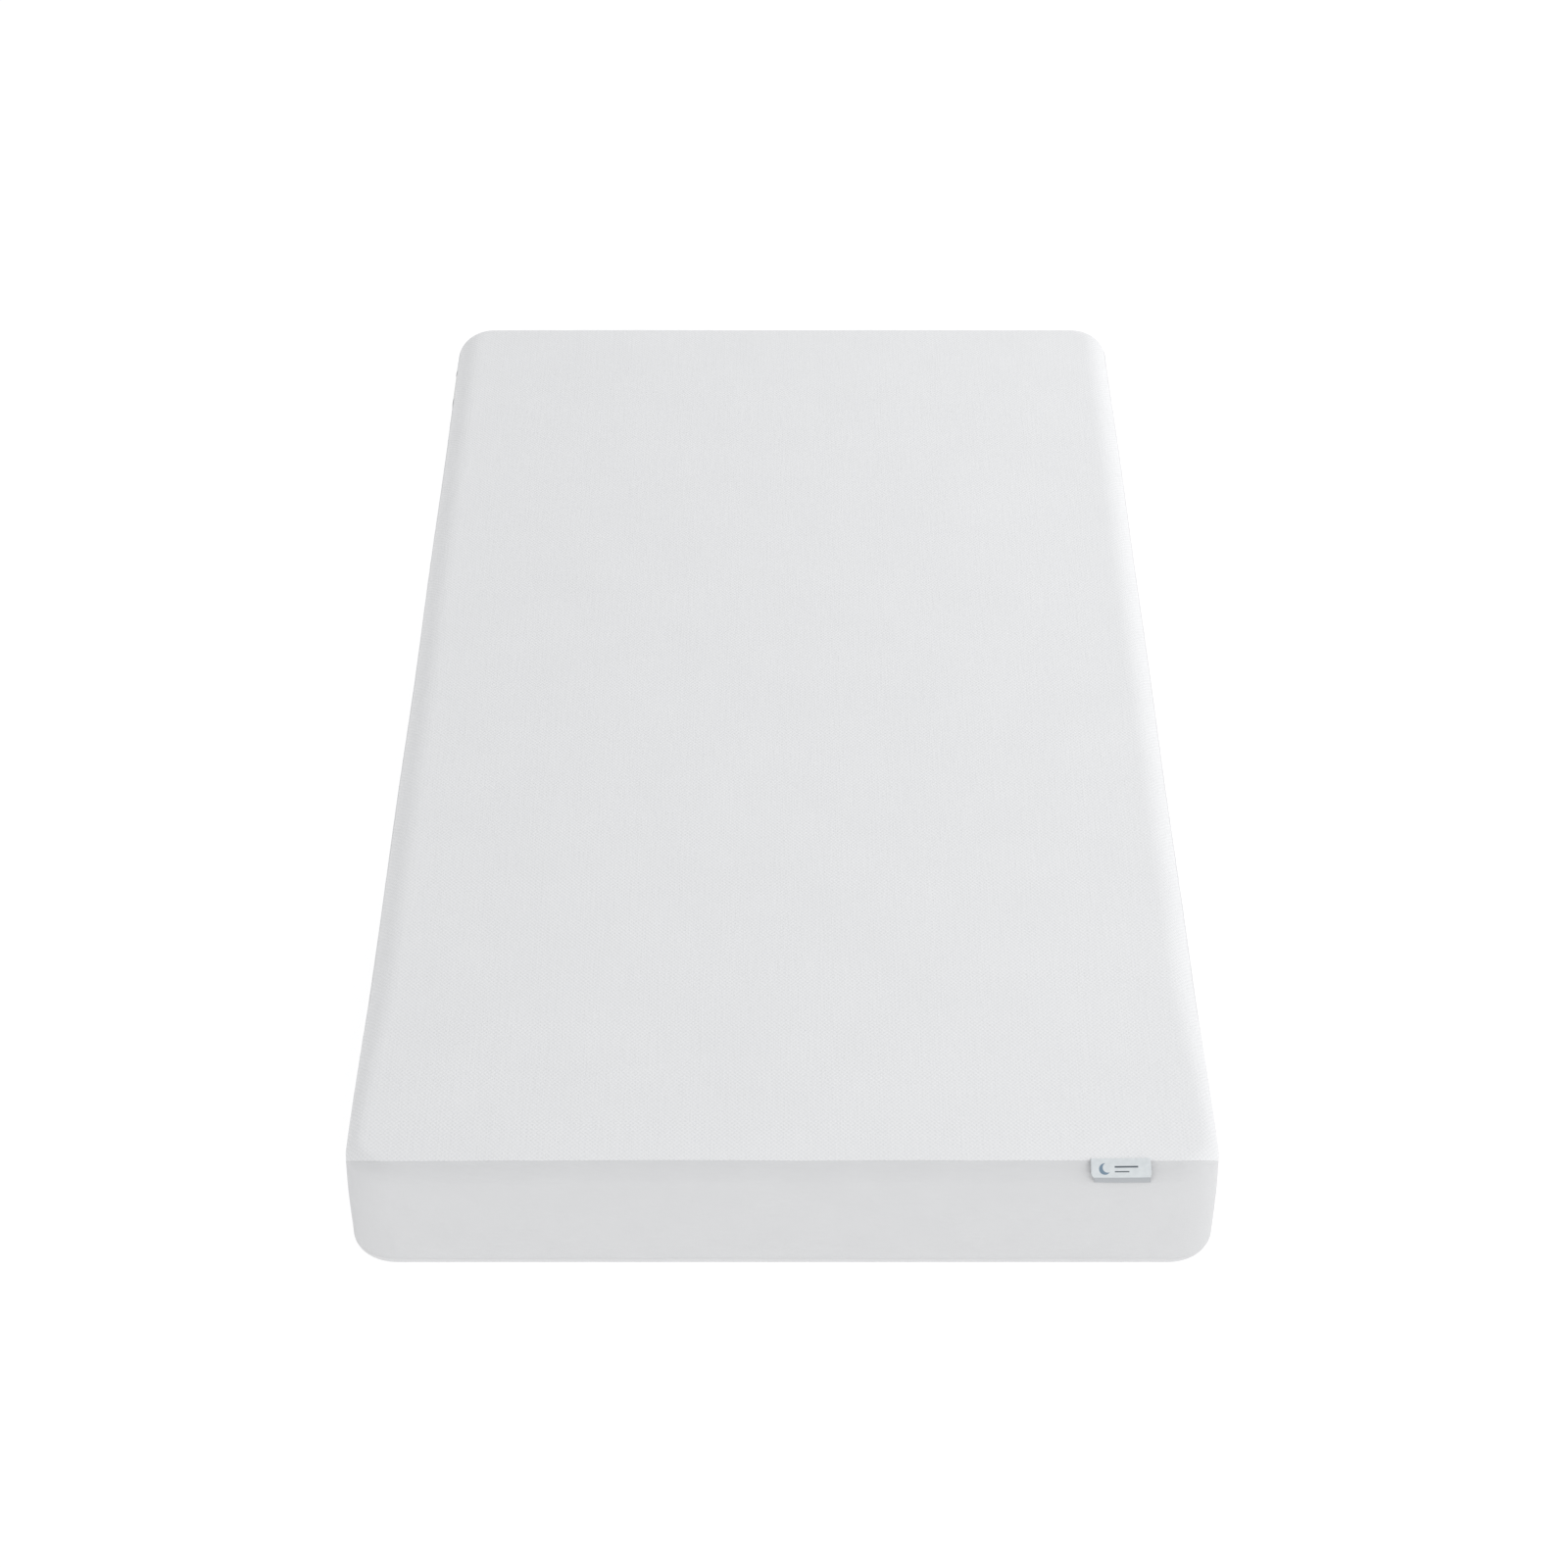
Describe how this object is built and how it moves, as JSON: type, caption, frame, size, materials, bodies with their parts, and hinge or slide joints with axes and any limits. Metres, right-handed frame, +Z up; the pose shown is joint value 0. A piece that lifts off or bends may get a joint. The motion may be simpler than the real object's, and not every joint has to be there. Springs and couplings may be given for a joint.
{
  "type": "memory foam mattress",
  "caption": "Low rectangular foam mattress with rounded corners, a zipped knit cover over a fire sock and bonded foam layers, and small sewn tags.",
  "frame": {"origin": "on the floor under the middle of the mattress", "axes": "+X across the mattress, +Y towards the head end, +Z up; the foot end with the folded label faces -Y"},
  "size_m": [0.9913, 1.917, 0.152],
  "materials": {
    "memory_foam": "matte",
    "foam_glue": "matte",
    "support_foam": "matte",
    "sock_knit": "matte",
    "sock_thread": "matte",
    "top_knit": "matte",
    "border_knit": "matte",
    "base_fabric": "matte",
    "sewing_thread": "satin",
    "zipper_tape": "matte",
    "zipper_coil": "satin",
    "stop_metal": "satin",
    "slider_metal": "satin",
    "satin_ribbon": "satin",
    "tag_paper": "matte"
  },
  "bodies": {
    "mattress": {"memory_foam_layer": "memory_foam", "foam_adhesive_film": "foam_glue", "support_foam_base": "support_foam", "fire_sock": "sock_knit", "fire_sock_seam_foot": "sock_thread", "fire_sock_seam_head": "sock_thread", "cover_top_panel": "top_knit", "cover_border": "border_knit", "cover_bottom_panel": "base_fabric", "top_seam_thread": "sewing_thread", "bottom_seam_thread": "sewing_thread", "border_join_thread": "sewing_thread", "zipper_tape_upper": "zipper_tape", "zipper_tape_lower": "zipper_tape", "zipper_coil_upper": "zipper_coil", "zipper_coil_lower": "zipper_coil", "zipper_stitching": "sewing_thread", "zipper_top_stops": "stop_metal", "zipper_bottom_stop": "stop_metal"},
    "slider": {"zipper_slider": "slider_metal"},
    "pull": {"zipper_pull": "slider_metal"},
    "brand_label_flap": {"brand_label": "satin_ribbon"},
    "law_tag_flap": {"law_tag": "tag_paper"},
    "care_tag_flap": {"care_tag": "satin_ribbon"}
  },
  "joints": [
    {"name": "zipper_slide", "type": "slide", "parent": "mattress", "child": "slider", "axis": [1, 0, 0], "range_m": [-0.79, 0]},
    {"name": "pull_swing", "type": "hinge", "parent": "slider", "child": "pull", "pos_m": [0.395, 0.9577, 0.026], "axis": [0, 0, -1], "range_deg": [0, 180]},
    {"name": "brand_label_lift", "type": "hinge", "parent": "mattress", "child": "brand_label_flap", "pos_m": [0.3785, -0.955, 0.146], "axis": [-1, 0, 0], "range_deg": [0, 170]},
    {"name": "law_tag_lift", "type": "hinge", "parent": "mattress", "child": "law_tag_flap", "pos_m": [-0.4963, 0.795, 0.1275], "axis": [0, 1, 0], "range_deg": [0, 170]},
    {"name": "care_tag_lift", "type": "hinge", "parent": "mattress", "child": "care_tag_flap", "pos_m": [-0.4963, 0.858, 0.1275], "axis": [0, 1, 0], "range_deg": [0, 170]}
  ]
}
